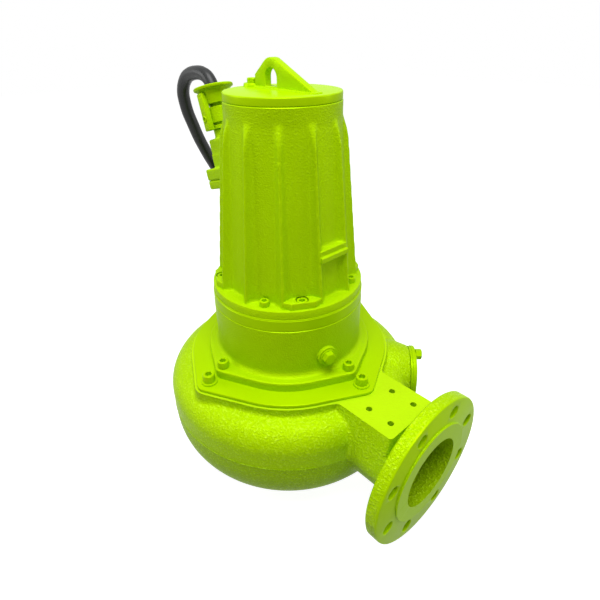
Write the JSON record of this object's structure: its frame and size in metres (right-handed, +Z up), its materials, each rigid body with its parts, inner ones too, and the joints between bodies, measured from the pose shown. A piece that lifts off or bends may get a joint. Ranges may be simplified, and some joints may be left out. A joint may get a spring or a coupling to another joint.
{
  "type": "submersible sewage pump",
  "caption": "Upright submersible sewage pump: round casing with flanged side discharge, oil chamber, ribbed tapered motor housing, lifting lug and leaning cable gland.",
  "frame": {"origin": "on the shaft's axis, in the plane of the suction flange that the pump stands on", "axes": "+Z up along the shaft, +X out of the discharge flange"},
  "size_m": [0.7139, 0.608, 0.6064],
  "materials": {
    "green_paint": "gloss enamel over cast iron",
    "green_bolts": "gloss enamel over steel screws",
    "steel": "machined",
    "bearing_steel": "ground",
    "cast_iron": "as cast",
    "bronze": "machined bronze",
    "copper": "varnished copper",
    "rubber": "moulded rubber",
    "cable_rubber": "rubber sheath",
    "seal_ceramic": "lapped ceramic",
    "seal_carbon": "lapped carbon",
    "board": "moulded phenolic",
    "aluminium": "die cast"
  },
  "bodies": {
    "pump": {"volute_casing": "green_paint", "suction_cover": "green_paint", "suction_cover_screws": "steel", "wear_ring": "bronze", "casing_cover": "green_paint", "casing_cover_screws": "green_bolts", "casing_cover_washers": "green_bolts", "casing_o_ring": "rubber", "oil_chamber_housing": "green_paint", "oil_chamber_screws": "green_bolts", "oil_plug": "green_bolts", "oil_plug_seal": "copper", "bearing_bracket": "green_paint", "bracket_screws": "green_bolts", "motor_housing": "green_paint", "motor_flange_screws": "green_bolts", "top_cover": "green_paint", "lifting_lug": "green_paint", "vent_plug": "green_bolts", "handhole_cover": "green_paint", "handhole_gasket": "rubber", "handhole_bolts": "green_bolts", "cable_entry_housing": "green_paint", "cable_entry_screws": "green_bolts", "gland_body": "green_paint", "gland_bell": "green_paint", "cable_clamp": "green_paint", "clamp_screws": "green_bolts", "cable_grommet": "rubber", "cable": "cable_rubber", "cable_coil": "cable_rubber", "cable_tail": "cable_rubber", "cable_cores": "copper", "stator_core": "cast_iron", "stator_windings": "copper", "lower_bearing_outer_race": "bearing_steel", "upper_bearing_outer_race": "bearing_steel", "bearing_circlip": "steel", "wave_spring": "steel", "lower_seal_seat": "seal_ceramic", "upper_seal_seat": "seal_ceramic", "terminal_board": "board", "moisture_probe": "steel"},
    "rotor": {"shaft": "steel", "impeller": "cast_iron", "impeller_key": "steel", "impeller_washer": "steel", "impeller_screw": "steel", "rotor_core": "cast_iron", "rotor_end_rings": "aluminium", "lower_bearing_inner_race": "bearing_steel", "upper_bearing_inner_race": "bearing_steel", "lower_seal_ring": "seal_carbon", "seal_bellows": "rubber", "upper_seal_ring": "seal_carbon"},
    "lower_cage": {"lower_bearing_balls": "bearing_steel"},
    "upper_cage": {"upper_bearing_balls": "bearing_steel"}
  },
  "joints": [
    {"name": "shaft_turn", "type": "hinge", "parent": "pump", "child": "rotor", "pos_m": [0, 0, 0.135], "axis": [0, 0, 1], "continuous": true},
    {"name": "lower_balls_turn", "type": "hinge", "parent": "pump", "child": "lower_cage", "pos_m": [0, 0, 0.135], "axis": [0, 0, 1], "continuous": true},
    {"name": "upper_balls_turn", "type": "hinge", "parent": "pump", "child": "upper_cage", "pos_m": [0, 0, 0.135], "axis": [0, 0, 1], "continuous": true}
  ],
  "couplings": [
    {"joint": "lower_balls_turn", "follows": "shaft_turn", "ratio": 0.4},
    {"joint": "upper_balls_turn", "follows": "shaft_turn", "ratio": 0.4}
  ]
}
